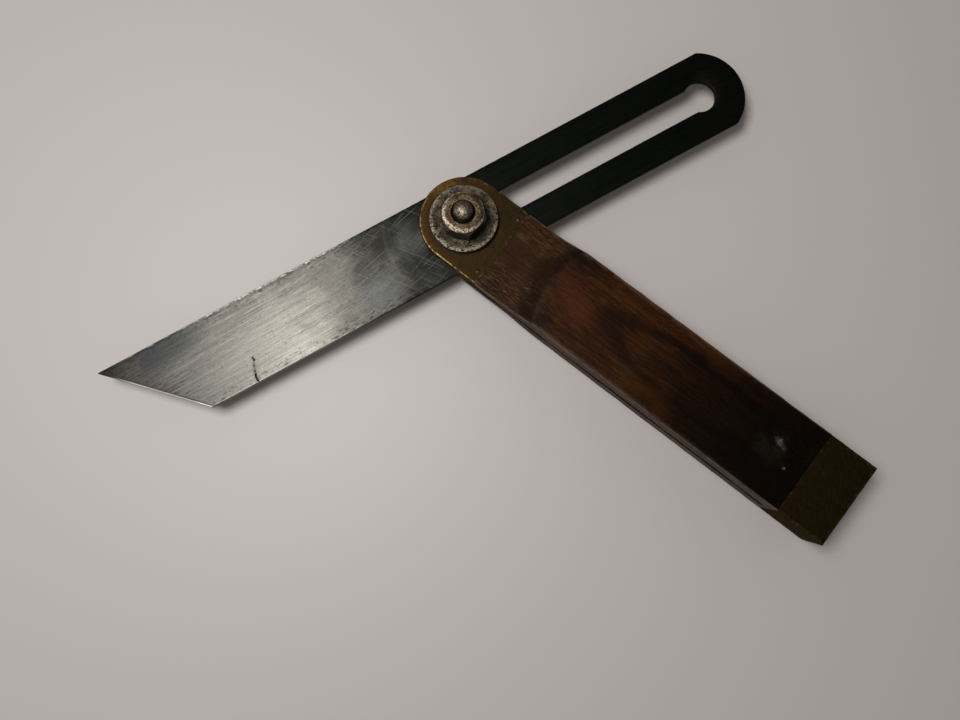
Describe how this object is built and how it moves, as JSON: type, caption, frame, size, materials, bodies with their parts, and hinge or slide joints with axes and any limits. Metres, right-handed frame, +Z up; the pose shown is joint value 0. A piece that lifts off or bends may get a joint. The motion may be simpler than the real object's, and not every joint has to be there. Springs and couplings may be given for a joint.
{
  "type": "sliding bevel",
  "caption": "Sliding bevel: slotted steel blade that swings and slides in the saw kerf of a coved wooden stock with brass bolster plates and butt cap, clamped by screw, washer and nut.",
  "frame": {"origin": "middle of the flat underside of the stock's grip, on which the tool rests", "axes": "+X along the stock from the pivot towards the butt, +Z up from the resting face towards the nut, +Y across the stock"},
  "size_m": [0.1858, 0.1827, 0.0216],
  "materials": {
    "stock_wood": "worn dark reddish brown hardwood, rubbed smooth, almost black towards the butt",
    "aged_brass": "dark olive brown patina with bright worn arrises",
    "pin_brass": "flush pin, filed bright",
    "blade_steel": "scratched lengthways, grey at the cut end and nearly black along the slot",
    "screw_steel": "rubbed bright on the domed end",
    "washer_steel": "pitted dull grey",
    "nut_steel": "brown tarnish with bright worn corners"
  },
  "bodies": {
    "stock": {"stock": "stock_wood", "upper_bolster_plate": "aged_brass", "lower_bolster_plate": "aged_brass", "upper_plate_pin_near": "pin_brass", "upper_plate_pin_far": "pin_brass", "lower_plate_pin_near": "pin_brass", "lower_plate_pin_far": "pin_brass", "butt_cap": "aged_brass", "butt_cap_pin": "pin_brass"},
    "clamp_screw": {"clamp_screw": "screw_steel"},
    "blade": {"blade": "blade_steel"},
    "washer": {"washer": "washer_steel"},
    "nut": {"nut": "nut_steel"}
  },
  "joints": [
    {"name": "blade_swing", "type": "hinge", "parent": "stock", "child": "clamp_screw", "pos_m": [-0.0795, 0, 0.0075], "axis": [0, 0, 1], "range_deg": [-232.5, 99.5]},
    {"name": "blade_slide", "type": "slide", "parent": "clamp_screw", "child": "blade", "axis": [-0.3987, -0.9171, 0], "range_m": [-0.004, 0.078]},
    {"name": "washer_lift", "type": "slide", "parent": "clamp_screw", "child": "washer", "axis": [0, 0, 1], "range_m": [0, 0.0019]},
    {"name": "nut_turn", "type": "hinge", "parent": "washer", "child": "nut", "pos_m": [-0.0795, 0, 0.0155], "axis": [0, 0, 1], "range_deg": [0, 540]}
  ],
  "couplings": [
    {"joint": "nut_turn", "follows": "washer_lift", "rad_per_m": 4947.4}
  ]
}
